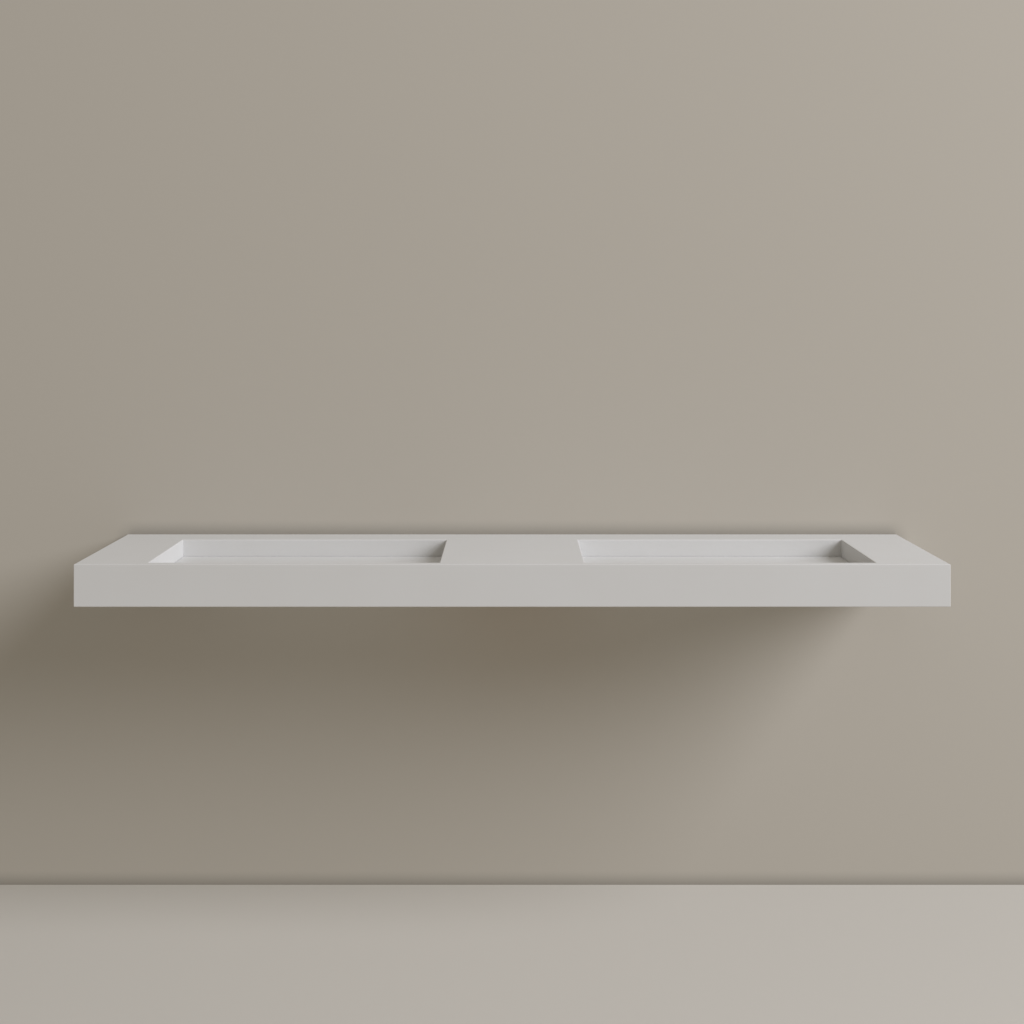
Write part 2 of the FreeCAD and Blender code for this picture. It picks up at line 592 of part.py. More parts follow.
def bracket(side, x):
    """Wall plate with a square tube welded to it, bolt holes in both."""
    tip = ARM_TIP
    body = new_body(f"{side}_console", x)
    plate = new_sketch(body, f"{side}_plate", "XZ_Plane")
    add_rectangle(plate, PLATE_WIDTH, "sizes.plate_height")
    add_feature(body, "Pad", f"{side}_plate_pad", plate, Length="sizes.plate_thickness")
    round_edges(body, f"{side}_plate_corners", "sizes.plate_corner", lambda edge: runs_along(edge, "y"))
    tube = new_sketch(body, f"{side}_tube", "XZ_Plane", "0", "0", "sizes.plate_thickness")
    add_rectangle(tube, "sizes.arm_width", "sizes.arm_height")
    add_rectangle(tube, "sizes.arm_width - 2 * sizes.arm_wall", "sizes.arm_height - 2 * sizes.arm_wall")
    add_feature(body, "Pad", f"{side}_arm", tube, Length="sizes.arm_length")
    half_w = number("sizes.arm_width") / 2
    half_h = number("sizes.arm_height") / 2
    thickness = number("sizes.plate_thickness")

    def arm_corner(edge):
        box = edge_box(edge)
        at_corner = abs(abs(box.XMin) - half_w) < 1e-4 and abs(abs(box.ZMin) - half_h) < 1e-4
        return runs_along(edge, "y") and at_corner and box.YMin < -2 * thickness

    def weld(edge):
        box = edge_box(edge)
        reach = max(abs(box.XMin), abs(box.XMax)) + max(abs(box.ZMin), abs(box.ZMax))
        on_face = abs(box.YMin + thickness) < 1e-4 and abs(box.YMax + thickness) < 1e-4
        inside = box.XMax < half_w + 1e-4 and box.XMin > -half_w - 1e-4
        return on_face and inside and reach > half_w + 1e-4 and touches_arm(box)

    def touches_arm(box):
        beside = abs(abs(box.XMin) - half_w) < 1e-4 or abs(abs(box.XMax) - half_w) < 1e-4
        above = abs(abs(box.ZMin) - half_h) < 1e-4 or abs(abs(box.ZMax) - half_h) < 1e-4
        return beside or above

    round_edges(body, f"{side}_arm_corners", "sizes.arm_corner", arm_corner)
    round_edges(body, f"{side}_weld", "sizes.weld_radius", weld)
    wall_holes = new_sketch(body, f"{side}_wall_holes", "XZ_Plane")
    for way in (-1, 1):
        add_circle(wall_holes, "sizes.wall_hole", f"{way} * {WALL_HOLE_X}", "0")
    drilled = add_feature(body, "Pocket", f"{side}_wall_drilling", wall_holes, Length="sizes.plate_thickness")
    drilled.Reversed = True
    arm_holes = new_sketch(body, f"{side}_arm_holes", "XY_Plane")
    for bolt_y in ARM_BOLTS:
        add_circle(arm_holes, "sizes.bolt_hole", "0", bolt_y)
    cut_through(body, f"{side}_arm_drilling", arm_holes)
    keep(body, f"{side}_bracket")

    cap = new_body(f"{side}_cap", x)
    outside = new_sketch(cap, f"{side}_cap_outside", "XZ_Plane", "0", "0", tip)
    add_rectangle(outside, "sizes.arm_width", "sizes.arm_height")
    add_feature(cap, "Pad", f"{side}_cap_plate", outside, Length="sizes.cap_thickness")
    round_edges(cap, f"{side}_cap_corners", "sizes.arm_corner", lambda edge: runs_along(edge, "y"))
    plug = new_sketch(cap, f"{side}_cap_inside", "XZ_Plane", "0", "0", f"{tip} - sizes.cap_plug")
    less = "2 * sizes.arm_wall - 2 * sizes.plug_clearance"
    add_rectangle(plug, f"sizes.arm_width - {less}", f"sizes.arm_height - {less}")
    add_feature(cap, "Pad", f"{side}_cap_plug", plug, Length="sizes.cap_plug")
    return cap


def bearer_and_pad(side, x, bay):
    """Plywood board with insert holes, and the drilled rubber strip under it."""
    width = f"({bay} - 2 * sizes.bearer_side_gap)"
    lower = "(sizes.arm_height / 2 + sizes.pad_thickness)"
    pad_length = f"({ARM_TIP} - sizes.bearer_setback)"
    board = new_body(f"{side}_board", x)
    outline = new_sketch(board, f"{side}_board_outline", "XY_Plane", "0",
                         f"-sizes.bearer_setback - {BEARER_LENGTH} / 2", lower)
    add_rectangle(outline, width, BEARER_LENGTH)
    add_feature(board, "Pad", f"{side}_board_pad", outline, Length="sizes.bearer_thickness")
    holes = new_sketch(board, f"{side}_insert_holes", "XY_Plane", "0", "0",
                       f"{lower} + sizes.insert_length + sizes.thread_clearance")
    for bolt_y in ARM_BOLTS:
        add_circle(holes, "sizes.insert_radius + sizes.thread_clearance", "0", bolt_y)
    add_feature(board, "Pocket", f"{side}_insert_drilling", holes,
                Length="sizes.insert_length + sizes.thread_clearance")
    keep(board, f"{side}_bearer")

    strip = new_body(f"{side}_pad", x)
    outline = new_sketch(strip, f"{side}_pad_outline", "XY_Plane", "0",
                         f"-sizes.bearer_setback - {pad_length} / 2", "sizes.arm_height / 2")
    add_rectangle(outline, "sizes.arm_width", pad_length)
    add_feature(strip, "Pad", f"{side}_pad_strip", outline, Length="sizes.pad_thickness")
    holes = new_sketch(strip, f"{side}_pad_holes", "XY_Plane")
    for bolt_y in ARM_BOLTS:
        add_circle(holes, "sizes.bolt_hole", "0", bolt_y)
    cut_through(strip, f"{side}_pad_drilling", holes)
    keep(strip, f"{side}_bearing_pad")


def arm_fixings(tag, x, y):
    """Bolt, washer and threaded insert at one hole of an arm."""
    insert_z = "(sizes.arm_height / 2 + sizes.pad_thickness)"
    washer_z = "(-sizes.arm_height / 2 - sizes.bolt_washer)"
    head = doc.addObject("Part::Prism", f"{tag}_head")
    head.Polygon = 6
    bind(head, Circumradius="sizes.bolt_head_corner", Height="sizes.bolt_head_height")
    place(head, x, y, f"{washer_z} - sizes.bolt_head_height")
    shank = doc.addObject("Part::Cylinder", f"{tag}_shank")
    bind(shank, Radius="sizes.bolt_radius", Height=f"{insert_z} + sizes.insert_engagement - {washer_z}")
    place(shank, x, y, washer_z)
    bolt = doc.addObject("Part::MultiFuse", f"{tag}_bolt")
    bolt.Shapes = [head, shank]
    washer = add_ring(f"{tag}_washer", "sizes.bolt_washer_radius", "sizes.bolt_hole", "sizes.bolt_washer",
                      x, y, washer_z)
    insert = add_ring(f"{tag}_insert", "sizes.insert_radius", "sizes.bolt_radius + sizes.thread_clearance",
                      "sizes.insert_length", x, y, insert_z)
    return bolt, washer, insert


ARM_BOLTS = ("-sizes.arm_bolt_setback", "-sizes.arm_bolt_setback - sizes.arm_bolt_spacing")

top_block = eased_block()
outside_sheets(top_block)
hidden_strips()
for side_name, side_sign in (("left", -1), ("right", 1)):
    drain_x = f"{side_sign} * {BASIN_X}"
    basin_walls(side_name, side_sign, top_block)
    basin_floor(side_name, side_sign)
    sump_plate(side_name, drain_x)
    drain_cover(side_name, drain_x)
    waste(side_name, drain_x)

caps = []
fixings = []
for side_name, bracket_x, bay_width in (("left", f"-{END_BRACKET_X}", END_BAY),
                                        ("centre", "0", CENTRE_BAY),
                                        ("right", END_BRACKET_X, END_BAY)):
    caps.append(bracket(side_name, bracket_x))
    bearer_and_pad(side_name, bracket_x, bay_width)
    for end_name, hole_y in zip(("rear", "front"), ARM_BOLTS):
        fixings.append(arm_fixings(f"{side_name}_{end_name}", bracket_x, hole_y))
add_group("arm_end_caps", caps)
for group_name, members in zip(("bracket_bolts", "bracket_washers", "threaded_inserts"), zip(*fixings)):
    add_group(group_name, list(members))

doc.recompute()
for item in doc.Objects:
    if "Invalid" in item.State or "Error" in item.State:
        raise RuntimeError(f"{item.Label}: {item.State}")

os.makedirs("parts", exist_ok=True)
for node in nodes:
    if node.Shape.isNull() or not node.Shape.isValid() or not node.Shape.Solids:
        raise RuntimeError(f"{node.Label} has no sound solid")
    node.Shape.exportStep(f"parts/{node.Label}.step")
    print(node.Label, len(node.Shape.Solids), round(node.Shape.Volume / 1000, 3))
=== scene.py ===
import json
import math

import bmesh
import bpy
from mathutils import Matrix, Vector


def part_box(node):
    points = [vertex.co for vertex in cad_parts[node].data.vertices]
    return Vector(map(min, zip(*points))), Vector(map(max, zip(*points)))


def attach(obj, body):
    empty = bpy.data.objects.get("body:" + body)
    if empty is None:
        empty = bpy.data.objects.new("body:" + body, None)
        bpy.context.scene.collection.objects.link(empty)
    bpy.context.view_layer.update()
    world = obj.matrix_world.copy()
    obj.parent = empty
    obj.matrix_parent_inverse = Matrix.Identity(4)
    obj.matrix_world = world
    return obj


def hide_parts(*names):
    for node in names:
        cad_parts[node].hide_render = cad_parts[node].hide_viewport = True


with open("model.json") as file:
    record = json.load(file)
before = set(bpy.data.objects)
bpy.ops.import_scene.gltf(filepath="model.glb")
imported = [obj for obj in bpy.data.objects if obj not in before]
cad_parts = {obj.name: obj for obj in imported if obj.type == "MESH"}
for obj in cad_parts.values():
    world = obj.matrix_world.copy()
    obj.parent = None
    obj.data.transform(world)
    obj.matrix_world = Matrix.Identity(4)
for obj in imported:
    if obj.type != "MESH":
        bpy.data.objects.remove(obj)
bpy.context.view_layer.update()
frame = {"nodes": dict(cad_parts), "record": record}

TURN = 2.0 * math.pi
QUARTER = TURN / 4.0
SIDES = ("left", "right")
ARMS = ("left", "centre", "right")


# Materials

EVEN = (1.0, 1.0, 1.0)
NOISE_LOW, NOISE_HIGH = 0.3, 0.7
# A Mix node has several sockets of each name, so its colour sockets go by number.
MIX_FACTOR, MIX_FIRST, MIX_SECOND, MIX_RESULT = 0, 6, 7, 2


def add_node(tree, kind, inputs, **settings):
    """Node whose inputs are plain values or the outputs that feed them."""
    node = tree.nodes.new(kind)
    for key, value in settings.items():
        setattr(node, key, value)
    for socket, source in inputs.items():
        if isinstance(source, bpy.types.NodeSocket):
            tree.links.new(source, node.inputs[socket])
        else:
            node.inputs[socket].default_value = source
    return node


class Recipe:
    """A Principled material whose colour, roughness and relief come from textures in object space."""

    def __init__(self, name, **constants):
        self.material = bpy.data.materials.new(name)
        self.material.use_nodes = True
        self.tree = self.material.node_tree
        self.shader = self.tree.nodes["Principled BSDF"]
        for socket, value in constants.items():
            self.shader.inputs[socket].default_value = value

    def node(self, kind, inputs, **settings):
        return add_node(self.tree, kind, inputs, **settings)

    def place(self, scale, stretch=EVEN):
        """Object coordinates in metres times a scale."""
        coords = self.node("ShaderNodeTexCoord", {})
        scales = [scale * part for part in stretch]
        mapping = self.node("ShaderNodeMapping", {"Vector": coords.outputs["Object"], "Scale": scales})
        return mapping.outputs["Vector"]

    def noise(self, scale, detail=3.0, roughness=0.55, stretch=EVEN, distortion=0.0):
        """Noise of about as many waves in a metre as the scale says."""
        texture = self.node("ShaderNodeTexNoise", {
            "Vector": self.place(scale, stretch), "Scale": 1.0, "Detail": detail, "Roughness": roughness,
            "Distortion": distortion})
        return texture.outputs["Fac"]

    def ramp(self, factor, *stops):
        ramp = self.node("ShaderNodeValToRGB", {"Fac": factor})
        elements = ramp.color_ramp.elements
        while len(elements) < len(stops):
            elements.new(0.5)
        for element, (position, colour) in zip(elements, stops):
            element.position = position
            element.color = (*colour, 1.0)
        return ramp.outputs["Color"]

    def tint(self, noise, low, high):
        """Colour between two tints over a noise's usual spread."""
        return self.ramp(noise, (NOISE_LOW, low), (NOISE_HIGH, high))

    def fit(self, noise, low, high):
        """Number between two limits over a noise's usual spread."""
        fitted = self.node("ShaderNodeMapRange", {
            "Value": noise, "From Min": NOISE_LOW, "From Max": NOISE_HIGH, "To Min": low, "To Max": high})
        return fitted.outputs["Result"]

    def mix(self, factor, first, second, blend="MIX"):
        mixed = self.node("ShaderNodeMix", {MIX_FACTOR: factor, MIX_FIRST: first, MIX_SECOND: second},
                          data_type="RGBA", blend_type=blend)
        return mixed.outputs[MIX_RESULT]

    def colour(self, output):
        self.tree.links.new(output, self.shader.inputs["Base Color"])

    def rough(self, output):
        self.tree.links.new(output, self.shader.inputs["Roughness"])

    def relief(self, *layers):
        """Stacked bumps, each a height, a strength and a depth in metres."""
        below = {}
        for height, strength, depth in layers:
            bump = self.node("ShaderNodeBump", {
                "Height": height, "Strength": strength, "Distance": depth, **below})
            below = {"Normal": bump.outputs["Normal"]}
        self.tree.links.new(below["Normal"], self.shader.inputs["Normal"])


def solid_surface():
    """Matt white acrylic stone: faint cloudiness, fine filler and a sanded satin face."""
    recipe = Recipe("matt_white_solid_surface", IOR=1.5)
    cloud = recipe.noise(9.0, detail=2.0)
    filler = recipe.noise(900.0, detail=2.0)
    sanding = recipe.noise(2600.0, detail=2.0)
    soft = recipe.tint(cloud, (0.634, 0.628, 0.620), (0.642, 0.638, 0.632))
    specks = recipe.ramp(filler, (0.3, (0.978, 0.976, 0.973)), (0.62, (1.0, 1.0, 1.0)))
    recipe.colour(recipe.mix(1.0, soft, specks, "MULTIPLY"))
    recipe.rough(recipe.fit(recipe.noise(240.0), 0.54, 0.60))
    recipe.relief((sanding, 0.05, 0.0004), (filler, 0.03, 0.0006))
    return recipe.material


def plywood():
    """Birch plywood: long grain on the faces, thin crossed plies on the sawn edges."""
    recipe = Recipe("birch_plywood", IOR=1.45)
    grain = recipe.noise(60.0, detail=6.0, roughness=0.65, stretch=(9.0, 0.35, 9.0), distortion=0.6)
    pores = recipe.noise(700.0, detail=2.0, stretch=(2.0, 0.12, 2.0))
    plies = recipe.node("ShaderNodeTexWave",
                        {"Vector": recipe.place(116.0), "Scale": 1.0, "Distortion": 0.4, "Detail": 2.0},
                        wave_type="BANDS", bands_direction="Z", wave_profile="TRI")
    face = recipe.ramp(grain, (0.25, (0.44, 0.29, 0.165)), (0.5, (0.60, 0.43, 0.27)),
                       (0.78, (0.68, 0.51, 0.34)))
    edge = recipe.ramp(plies.outputs["Fac"], (0.38, (0.33, 0.20, 0.105)), (0.5, (0.52, 0.36, 0.21)),
                       (0.62, (0.66, 0.49, 0.32)))
    geometry = recipe.node("ShaderNodeNewGeometry", {})
    parts = recipe.node("ShaderNodeSeparateXYZ", {"Vector": geometry.outputs["True Normal"]})
    flat = recipe.node("ShaderNodeMath", {0: parts.outputs["Z"]}, operation="ABSOLUTE")
    recipe.colour(recipe.mix(flat.outputs["Value"], edge, face))
    recipe.rough(recipe.fit(pores, 0.58, 0.78))
    recipe.relief((grain, 0.15, 0.0006), (pores, 0.12, 0.0004))
    return recipe.material


def powder_coat():
    """Black powder coat with its fine orange peel."""
    recipe = Recipe("black_powder_coat", IOR=1.5)
    peel = recipe.noise(520.0, detail=2.0)
    dust = recipe.noise(18.0, detail=5.0)
    recipe.colour(recipe.ramp(dust, (0.3, (0.016, 0.016, 0.017)), (0.75, (0.034, 0.034, 0.035))))
    recipe.rough(recipe.fit(dust, 0.42, 0.60))
    recipe.relief((peel, 0.28, 0.0005))
    return recipe.material


def metal(name, low, high, rough, scale, stretch=EVEN, relief=0.06):
    """Bare or plated metal: tinted colour, uneven polish and fine working marks."""
    recipe = Recipe(name, Metallic=1.0)
    marks = recipe.noise(scale, stretch=stretch)
    recipe.colour(recipe.tint(recipe.noise(70.0, detail=4.0), low, high))
    recipe.rough(recipe.fit(marks, *rough))
    recipe.relief((marks, relief, 0.0003))
    return recipe.material


def polymer(name, low, high, rough, scale, relief, refraction):
    """Moulded rubber or plastic: slightly mottled colour over a fine grained face."""
    recipe = Recipe(name, IOR=refraction)
    mottle = recipe.noise(45.0, detail=5.0)
    recipe.colour(recipe.tint(mottle, low, high))
    recipe.rough(recipe.fit(mottle, *rough))
    recipe.relief((recipe.noise(scale, detail=2.0), relief, 0.0004))
    return recipe.material


FINISHES = {
    "solid_surface": solid_surface(),
    "plywood": plywood(),
    "bracket_steel": powder_coat(),
    "black_rubber": polymer("black_rubber", low=(0.018, 0.018, 0.019), high=(0.034, 0.034, 0.034),
                            rough=(0.66, 0.82), scale=1300.0, relief=0.25, refraction=1.5),
    "soft_feet": polymer("clear_grey_silicone", low=(0.52, 0.53, 0.53), high=(0.60, 0.60, 0.59),
                         rough=(0.38, 0.50), scale=900.0, relief=0.05, refraction=1.42),
    "stainless_steel": metal("brushed_stainless", low=(0.50, 0.49, 0.47), high=(0.57, 0.56, 0.54),
                             rough=(0.20, 0.34), scale=1500.0, stretch=(1.0, 0.06, 1.0)),
    "chromed_brass": metal("chrome_plate", low=(0.615, 0.625, 0.635), high=(0.645, 0.655, 0.665),
                           rough=(0.07, 0.10), scale=500.0, relief=0.01),
    "zinced_steel": metal("zinc_plate", low=(0.52, 0.54, 0.57), high=(0.63, 0.62, 0.58),
                          rough=(0.24, 0.40), scale=800.0),
    "brass": metal("turned_brass", low=(0.62, 0.43, 0.18), high=(0.72, 0.52, 0.24),
                   rough=(0.20, 0.34), scale=1400.0, stretch=(1.0, 1.0, 0.1)),
    "black_plastic": polymer("black_polyethylene", low=(0.020, 0.020, 0.021), high=(0.030, 0.030, 0.031),
                             rough=(0.44, 0.56), scale=1600.0, relief=0.20, refraction=1.5),
}


def finish_nodes():
    """Gives every node of the frame the finish of its slot."""
    for entry in frame["record"]["subparts"]:
        materials = frame["nodes"][entry["node"]].data.materials
        materials.clear()
        materials.append(FINISHES[entry["material_slot"]])


finish_nodes()


# Pieces with more shape than their solids

# Points round each turned form.
WASTE_POINTS, SPIDER_POINTS, SCREW_POINTS, BOLT_POINTS, WASHER_POINTS = 96, 180, 48, 72, 64
HEX = 6
# A thread is a triangle wave, steepened and lowered so that its crest and root come out flat.
THREAD_STEPS, RIDGE_GAIN, RIDGE_DROP = 8, 1.33, 0.165
BOLT_Y = (-0.090, -0.340)
CREASE = 32.0
TINY = 1e-9


def new_object(name, form):
    """Puts a finished bmesh into the scene."""
    bmesh.ops.recalc_face_normals(form, faces=form.faces)
    mesh = bpy.data.meshes.new(name)
    form.to_mesh(mesh)
    form.free()
    made = bpy.data.objects.new(name, mesh)
    bpy.context.scene.collection.objects.link(made)
    return made


def smooth(mesh, crease):
    """Smooth shading, apart from edges that bend by more than the crease in degrees."""
    for face in mesh.polygons:
        face.use_smooth = True
    mesh.set_sharp_from_angle(angle=math.radians(crease))


def add_piece(name, form, slot, crease=CREASE):
    """Turns a bmesh into a piece with the finish of its slot, riding on the top."""
    piece = new_object(name, form)
    piece.data.materials.append(FINISHES[slot])
    smooth(piece.data, crease)
    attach(piece, "top")
    return piece


def combine(piece, form, operation):
    """Joins a second closed form to a piece, or cuts it away."""
    tool = new_object("tool", form)
    step = piece.modifiers.new("combine", "BOOLEAN")
    step.operation = operation
    step.solver = "EXACT"
    step.object = tool
    graph = bpy.context.evaluated_depsgraph_get()
    mesh = bpy.data.meshes.new_from_object(piece.evaluated_get(graph))
    piece.modifiers.clear()
    piece.data = mesh
    smooth(mesh, CREASE)
    bpy.data.objects.remove(tool)


def skin(form, rings, looped=False):
    """Quads between rings of equal length. Without a loop the two ends are closed by flat faces."""
    made = [[form.verts.new(point) for point in ring] for ring in rings]
    following = made[1:] + made[:1] if looped else made[1:]
    for first, second in zip(made, following):
        for k, corner in enumerate(first):
            after = (k + 1) % len(first)
            form.faces.new((corner, first[after], second[after], second[k]))
    if not looped:
        form.faces.new(made[0])
        form.faces.new(made[-1])


def circle(axis, radius, height, count):
    """Ring of points about a vertical axis. The radius may depend on the turn from 0 to 1."""
    x, y = axis
    spread = radius if callable(radius) else lambda turn: radius
    turns = [k / count for k in range(count)]
    return [(x + spread(t) * math.cos(TURN * t), y + spread(t) * math.sin(TURN * t), height) for t in turns]


def circles(axis, profile, count):
    """Rings for a turned profile of radii and heights."""
    return [circle(axis, radius, height, count) for radius, height in profile]


def thread(axis, crest, root, pitch, high, low, count):
    """Rings of a right-hand thread, from high to low, that runs out over one pitch at each end."""
    rows = round(THREAD_STEPS * (high - low) / pitch)
    rings = []
    for row in range(rows + 1):
        height = high + (low - high) * row / rows
        depth = (crest - root) * min(1.0, (high - height) / pitch, (height - low) / pitch)

        def radius(turn):
            phase = (height / pitch - turn) % 1.0
            ridge = RIDGE_GAIN * (1.0 - abs(2.0 * phase - 1.0)) - RIDGE_DROP
            return crest - depth * (1.0 - min(1.0, max(0.0, ridge)))

        rings.append(circle(axis, radius, height, count))
    return rings


def middle(low, high):
    return (low[0] + high[0]) / 2.0, (low[1] + high[1]) / 2.0


def waste_body(side):
    """Turned waste body with its G 1 1/4 thread and the spider that holds the clamping screw."""
    low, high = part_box(f"{side}_waste_body")
    axis = middle(low, high)
    flange, thickness = (high[0] - low[0]) / 2.0, 0.004
    top, end = high[2], low[2]
    under = top - thickness
    crest, root, pitch = 0.020955, 0.019476, 0.002309
    bore, edge, bevel = 0.017, 0.0005, 0.001
    turned = [(bore + edge, top), (flange - edge, top), (flange, top - edge), (flange, under + edge),
              (flange - edge, under), (crest + edge, under), (crest, under - edge)]
    outlet = [(crest - bevel, end), (bore + edge, end), (bore, end + edge), (bore, top - edge)]
    rings = circles(axis, turned, WASTE_POINTS)
    rings += thread(axis, crest, root, pitch, under - 2.0 * edge, end + bevel, WASTE_POINTS)
    rings += circles(axis, outlet, WASTE_POINTS)
    form = bmesh.new()
    skin(form, rings, looped=True)
    piece = add_piece(f"{side}_threaded_waste", form, "chromed_brass")
    half, boss, hole, depth, overlap = 0.002, 0.0055, 0.0031, 0.006, 0.0006
    reach = bore + overlap

    def outline(turn):
        along = max(abs(math.cos(TURN * turn)), TINY)
        across = max(abs(math.sin(TURN * turn)), TINY)
        bars = (min(reach / along, half / across), min(reach / across, half / along))
        return max(boss, *bars)

    section = [(outline, top - edge), (outline, top - depth), (hole, top - depth), (hole, top - edge)]
    spider = bmesh.new()
    skin(spider, circles(axis, section, SPIDER_POINTS), looped=True)
    combine(piece, spider, "UNION")
    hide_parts(f"{side}_waste_body")


def waste_screw(side):
    """Domed screw with a driver slot and an M6 thread."""
    low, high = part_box(f"{side}_waste_screw")
    axis = middle(low, high)
    head, dome, bends = (high[0] - low[0]) / 2.0, 0.0025, 8
    shank, root, pitch, edge = 0.003, 0.00245, 0.001, 0.0004
    seat = high[2] - dome
    leans = [QUARTER * k / bends for k in range(1, bends + 1)]
    crown = [(head * math.sin(lean), seat + dome * math.cos(lean)) for lean in leans]
    rings = circles(axis, crown + [(shank, seat)], SCREW_POINTS)
    rings += thread(axis, shank, root, pitch, seat - edge, low[2] + edge, SCREW_POINTS)
    rings += circles(axis, [(shank - edge, low[2])], SCREW_POINTS)
    form = bmesh.new()
    skin(form, rings)
    piece = add_piece(f"{side}_slotted_screw", form, "stainless_steel")
    width, depth, reach = 0.0006, 0.0012, head + edge
    corners = [(-width, -reach), (width, -reach), (width, reach), (-width, reach)]
    slot = bmesh.new()
    skin(slot, [[(axis[0] + x, axis[1] + y, height) for x, y in corners]
                for height in (high[2] - depth, high[2] + edge)])
    combine(piece, slot, "DIFFERENCE")
    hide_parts(f"{side}_waste_screw")


def arm_axes():
    """Vertical axes of the six arm bolts."""
    return [(middle(*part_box(f"{arm}_bracket"))[0], y) for arm in ARMS for y in BOLT_Y]


def hex_bolts():
    """Six hexagon bolts with turned crowns and bevelled shank ends."""
    low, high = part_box("bracket_bolts")
    corner, thickness, shank, edge = 0.0075, 0.0053, 0.004, 0.0008
    crown_share, chamfer = 0.95, 30.0
    flat = corner * math.cos(TURN / (2 * HEX))
    crown, slope = crown_share * flat, math.tan(math.radians(chamfer))
    face, seat = low[2], low[2] + thickness

    def side_of(turn):
        return flat / math.cos(((HEX * turn) % 1.0 - 0.5) * TURN / HEX)

    section = [(side_of, seat), (shank, seat), (shank, high[2] - edge), (shank - edge, high[2])]
    form = bmesh.new()
    for axis in arm_axes():
        bevel = [(x, y, z + slope * (side_of(k / BOLT_POINTS) - crown))
                 for k, (x, y, z) in enumerate(circle(axis, side_of, face, BOLT_POINTS))]
        skin(form, [circle(axis, crown, face, BOLT_POINTS), bevel, *circles(axis, section, BOLT_POINTS)])
    piece = add_piece("crowned_hex_bolts", form, "zinced_steel", crease=20.0)
    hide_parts("bracket_bolts")


def flat_washers():
    """Six pressed washers: one edge rounded over, the other left sharp."""
    low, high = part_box("bracket_washers")
    bore, rim, over, bulge = 0.0045, 0.008, 0.0005, 0.3
    inset = bulge * over
    section = [(bore, high[2]), (bore, low[2] + over), (bore + over, low[2]), (rim - over, low[2]),
               (rim - inset, low[2] + inset), (rim, low[2] + over), (rim, high[2])]
    form = bmesh.new()
    for axis in arm_axes():
        skin(form, circles(axis, section, WASHER_POINTS), looped=True)
    piece = add_piece("pressed_washers", form, "zinced_steel")
    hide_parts("bracket_washers")


def rotate(flat, angle):
    return Vector((flat.x * math.cos(angle) - flat.y * math.sin(angle),
                   flat.x * math.sin(angle) + flat.y * math.cos(angle)))


def weld_path(half, corner, spacing):
    """Distances, points and outward directions round a square tube with rounded corners."""
    straight = 2.0 * (half - corner)
    arc = QUARTER * corner
    total = 4.0 * (straight + arc)
    count = round(total / spacing)
    for k in range(count):
        quarter, along = divmod(total * k / count, straight + arc)
        turn = min(1.0, max(0.0, (along - straight) / arc))
        bend = QUARTER * turn
        run = min(along, straight) - straight / 2.0
        point = Vector((half - corner + corner * math.cos(bend),
                        (run if turn == 0.0 else straight / 2.0) + corner * math.sin(bend)))
        out = Vector((math.cos(bend), math.sin(bend)))
        swing = quarter * QUARTER
        yield total * k / count, rotate(point, swing), rotate(out, swing)


def weld_bead(arm):
    """Rippled fillet weld round the foot of an arm."""
    low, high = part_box(f"{arm}_bracket")
    thickness, half, corner = 0.008, 0.015, 0.004
    centre, plate = middle(low, high)[0], high[1] - thickness
    leg, bite, steps = 0.0044, 0.001, 8
    ripple, period, drag, samples = 0.00035, 0.0026, 0.35, 6.0
    rings = []
    for distance, point, out in weld_path(half, corner, period / samples):
        ring = []
        for step in range(steps + 1):
            lean = QUARTER * step / steps
            belly = math.sin(2.0 * lean)
            phase = (distance / period + drag * belly) % 1.0
            height = leg - ripple * (1.0 - math.sin(TURN / 2.0 * phase)) * belly
            ring.append((point + out * height * math.cos(lean), -height * math.sin(lean)))
        ring += [(point - out * bite, -leg), (point - out * bite, bite), (point + out * leg, bite)]
        rings.append([(centre + spot.x, plate + y, spot.y) for spot, y in ring])
    form = bmesh.new()
    skin(form, rings, looped=True)
    add_piece(f"{arm}_weld_bead", form, "bracket_steel", crease=60.0)


def sump_bond(side):
    """Rounded bead of adhesive where the sump plate is bonded under the basin floor."""
    low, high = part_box(f"{side}_sump_plate")
    leg, bite, bends = 0.0028, 0.0004, 6
    leans = [QUARTER * k / bends for k in range(bends + 1)]
    # Each point of the section is a distance in from the plate's sides and a height above its top.
    section = [(-leg * math.sin(lean), -leg * math.cos(lean)) for lean in leans]
    section += [(-leg, bite), (bite, bite), (bite, -leg)]
    corners = ((low[0], low[1], 1, 1), (high[0], low[1], -1, 1),
               (high[0], high[1], -1, -1), (low[0], high[1], 1, -1))
    form = bmesh.new()
    skin(form, [[(x + way_x * away, y + way_y * away, high[2] + up) for away, up in section]
                for x, y, way_x, way_y in corners], looped=True)
    add_piece(f"{side}_sump_bond", form, "solid_surface", crease=50.0)


for side_name in SIDES:
    waste_body(side_name)
    waste_screw(side_name)
    sump_bond(side_name)
for arm_name in ARMS:
    weld_bead(arm_name)
hex_bolts()
flat_washers()


# Stage, light and camera

FLOOR_Z, BACKDROP_Y, FAR = -0.777, 0.003, 30.0
FLOOR_COLOUR, BACKDROP_COLOUR = (0.54, 0.515, 0.475), (0.467, 0.433, 0.380)
# Painted shade: how strongly ambient occlusion darkens the backdrop's colour near the object, and its reach
# in metres.
CONTACT_SHADE, CONTACT_REACH = 0.7, 0.035
FADE_START, FADE_END = 2.4, 7.0
AMBIENT_COLOUR, AMBIENT_STRENGTH = (1.0, 0.932, 0.816, 1.0), 0.40
BACKGROUND_COLOUR = (0.72, 0.71, 0.69, 1.0)


def seen_rays(tree):
    """1 for the rays that show the stage: straight from the eye, reflected or through glass."""
    path = add_node(tree, "ShaderNodeLightPath", {})
    direct = add_node(tree, "ShaderNodeMath",
                      {0: path.outputs["Is Camera Ray"], 1: path.outputs["Is Glossy Ray"]},
                      operation="MAXIMUM")
    seen = add_node(tree, "ShaderNodeMath",
                    {0: direct.outputs[0], 1: path.outputs["Is Transmission Ray"]},
                    operation="MAXIMUM")
    return seen.outputs[0]


